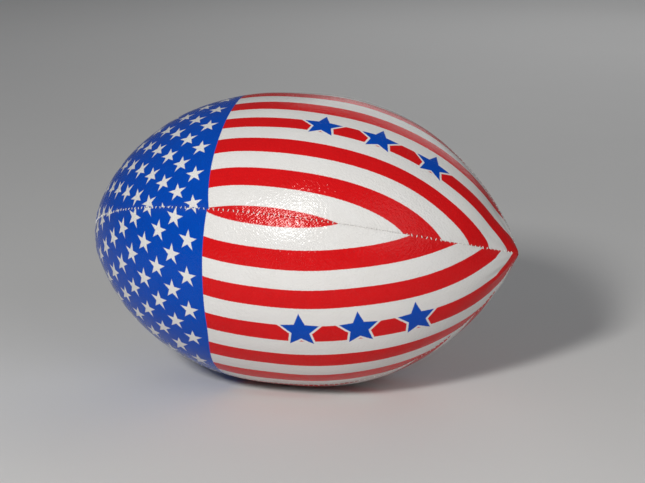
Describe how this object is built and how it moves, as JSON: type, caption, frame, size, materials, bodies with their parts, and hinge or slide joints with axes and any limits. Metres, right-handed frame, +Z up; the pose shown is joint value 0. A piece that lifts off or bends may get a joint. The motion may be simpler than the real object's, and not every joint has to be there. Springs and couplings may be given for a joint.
{
  "type": "rugby ball",
  "caption": "Oval four-panel ball with sewn seams, laminated backing, inflatable bladder and a self-sealing needle valve.",
  "frame": {"origin": "middle of the ball, halfway between its tips", "axes": "+X along the ball towards its sharper end, +Z up with the ball lying on its side, -Y towards the panels in front"},
  "size_m": [0.2798, 0.1874, 0.1874],
  "materials": {
    "printed_cover_cloth": "woven cloth with a glossy clear coat, printed with red and white stripes, a blue end and white stars",
    "backing_cloth": "laminated plain weave cotton, matt",
    "seam_thread": "waxed white thread",
    "closing_thread": "thick waxed white thread",
    "bladder_rubber": "smooth moulded rubber, satin",
    "patch_rubber": "calendered rubber sheet, matt",
    "valve_rubber": "moulded rubber, satin",
    "core_rubber": "soft rubber plug, matt"
  },
  "bodies": {
    "root": {"cover_upper_front": "printed_cover_cloth", "backing_upper_front": "backing_cloth", "cover_lower_front": "printed_cover_cloth", "backing_lower_front": "backing_cloth", "cover_lower_back": "printed_cover_cloth", "backing_lower_back": "backing_cloth", "cover_upper_back": "printed_cover_cloth", "backing_upper_back": "backing_cloth", "stitches_front_seam": "seam_thread", "stitches_bottom_seam": "seam_thread", "stitches_back_seam": "seam_thread", "stitches_top_seam": "seam_thread", "closing_stitches": "closing_thread", "bladder": "bladder_rubber", "valve_patch": "patch_rubber", "valve_body": "valve_rubber", "valve_core": "core_rubber"}
  },
  "joints": []
}
